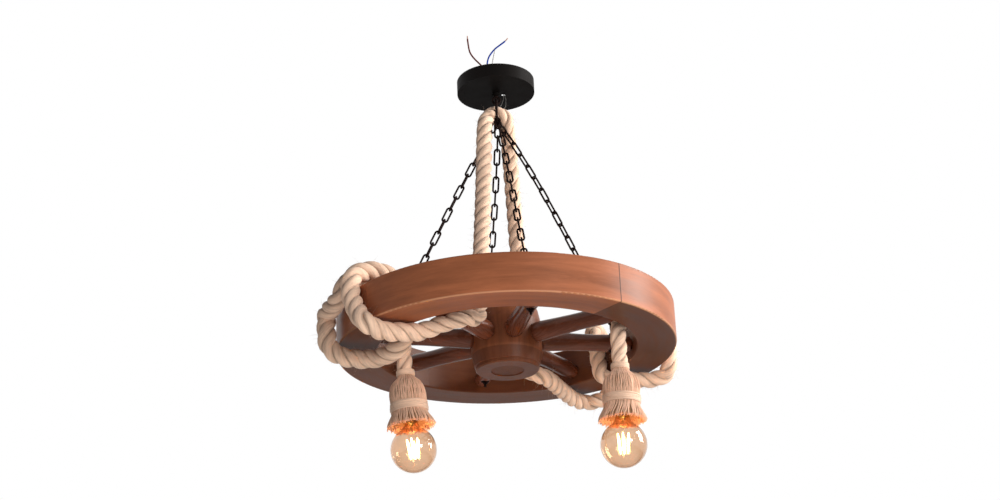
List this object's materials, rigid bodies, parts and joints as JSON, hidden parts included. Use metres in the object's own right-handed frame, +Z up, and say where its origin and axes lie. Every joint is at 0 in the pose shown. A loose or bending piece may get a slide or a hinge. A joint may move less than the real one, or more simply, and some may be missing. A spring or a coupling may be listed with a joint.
{
  "type": "chandelier",
  "caption": "Wooden wagon wheel hung level on chains, one thick jute rope wound round its rim and ending in tasselled lamps with amber filament globes.",
  "frame": {"origin": "on the ceiling, at the middle of the ceiling bracket", "axes": "+Z up, +X along the bracket, -Y is the side seen in the picture"},
  "size_m": [0.6325, 0.6, 0.8562],
  "materials": {
    "rim_wood": "satin lacquered hardwood, reddish brown",
    "dowel_wood": "plain turned dowel",
    "jute": "three-strand laid jute, slightly hairy",
    "twine": "fine jute twine",
    "canopy_black": "satin black",
    "chain_steel": "blackened bronze-brown",
    "zinc": "zinc plated",
    "brass": "plain",
    "terminal_white": "moulded",
    "lead_brown": "smooth insulation",
    "lead_blue": "smooth insulation",
    "lead_clear": "clear insulation",
    "holder_black": "moulded",
    "amber_glass": "amber tinted, clear",
    "clear_glass": "clear",
    "filament": "lit filament sticks"
  },
  "bodies": {
    "ceiling": {"ceiling_bracket": "zinc", "bracket_nut": "zinc", "canopy_cup": "canopy_black", "canopy_collar": "canopy_black", "hanger_eye_bolt": "chain_steel", "terminal_block": "terminal_white", "terminal_clamps": "brass", "supply_lead_brown": "lead_brown", "supply_lead_blue": "lead_blue", "supply_lead_clear": "lead_clear", "lamp_leads": "lead_clear"},
    "hanger": {"hanger_link": "chain_steel"},
    "wheel": {"chain_right": "chain_steel", "chain_far": "chain_steel", "chain_left": "chain_steel", "chain_near": "chain_steel", "eye_bolts": "chain_steel", "eye_bolt_washers": "chain_steel", "eye_bolt_nuts": "chain_steel", "felloe_1": "rim_wood", "felloe_2": "rim_wood", "felloe_3": "rim_wood", "felloe_4": "rim_wood", "felloe_dowels": "dowel_wood", "spoke_1": "rim_wood", "spoke_2": "rim_wood", "spoke_3": "rim_wood", "spoke_4": "rim_wood", "spoke_5": "rim_wood", "spoke_6": "rim_wood", "spoke_7": "rim_wood", "spoke_8": "rim_wood", "hub": "rim_wood", "hub_plug": "rim_wood", "rope_suspension": "jute", "rope_winding_left": "jute", "rope_winding_right": "jute"},
    "lamp_left": {"rope_drop_left": "jute", "tassel_left": "jute", "neck_binding_left": "twine", "waist_binding_left": "twine", "lampholder_left": "holder_black", "holder_shell_left": "brass"},
    "lamp_right": {"rope_drop_right": "jute", "tassel_right": "jute", "neck_binding_right": "twine", "waist_binding_right": "twine", "lampholder_right": "holder_black", "holder_shell_right": "brass"},
    "bulb_left": {"bulb_glass_left": "amber_glass", "bulb_cap_left": "brass", "bulb_stem_left": "clear_glass", "bulb_filaments_left": "filament"},
    "bulb_right": {"bulb_glass_right": "amber_glass", "bulb_cap_right": "brass", "bulb_stem_right": "clear_glass", "bulb_filaments_right": "filament"}
  },
  "joints": [
    {"name": "link_swing", "type": "hinge", "parent": "ceiling", "child": "hanger", "pos_m": [0, 0, -0.0417], "axis": [0, 1, 0], "range_deg": [-12, 12], "deforming": ["lamp_leads"]},
    {"name": "wheel_swing", "type": "hinge", "parent": "hanger", "child": "wheel", "pos_m": [0, 0, -0.067], "axis": [1, 0, 0], "range_deg": [-12, 12], "deforming": ["lamp_leads"]},
    {"name": "lamp_left_swing", "type": "hinge", "parent": "wheel", "child": "lamp_left", "pos_m": [-0.17831, -0.0614, -0.56022], "axis": [1, 0, 0], "range_deg": [-15, 15]},
    {"name": "lamp_right_swing", "type": "hinge", "parent": "wheel", "child": "lamp_right", "pos_m": [0.19215, -0.09581, -0.57205], "axis": [1, 0, 0], "range_deg": [-15, 15]},
    {"name": "bulb_left_turn", "type": "hinge", "parent": "lamp_left", "child": "bulb_left", "pos_m": [-0.1707, -0.0614, -0.6509], "axis": [0.0837, 0, -0.9965], "range_deg": [0, 900]},
    {"name": "bulb_right_turn", "type": "hinge", "parent": "lamp_right", "child": "bulb_right", "pos_m": [0.1905, -0.09581, -0.66703], "axis": [-0.0175, 0, -0.9998], "range_deg": [0, 900]}
  ]
}
